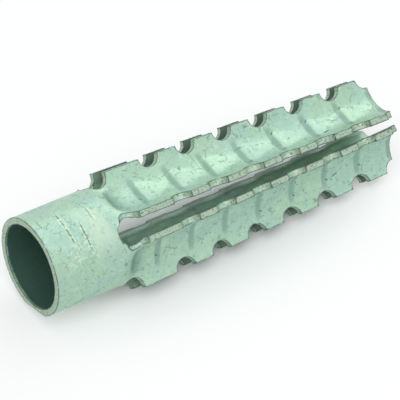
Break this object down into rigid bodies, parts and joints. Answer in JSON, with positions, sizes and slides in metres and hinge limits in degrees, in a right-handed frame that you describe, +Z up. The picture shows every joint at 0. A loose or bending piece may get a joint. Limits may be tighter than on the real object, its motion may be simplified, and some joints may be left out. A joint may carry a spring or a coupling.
{
  "type": "aerated concrete anchor",
  "caption": "Rolled sheet-steel plug for aerated concrete: a plain round neck takes the screw, and a slotted star-shaped body with notched edges and pressed steps spreads in the hole.",
  "frame": {"origin": "middle of the plug's length and width, on the surface it lies on", "axes": "+X from the mouth to the tip, +Y to the plug's left seen from the mouth, +Z up; the axis dips 2.16 degrees towards the tip because the plug lies on two tapering ridges"},
  "size_m": [0.0382, 0.01, 0.01],
  "materials": {
    "zinc_plate": "bright zinc plate with a pale green cast, lightly scuffed"
  },
  "bodies": {
    "root": {"anchor_sleeve": "zinc_plate"}
  },
  "joints": []
}
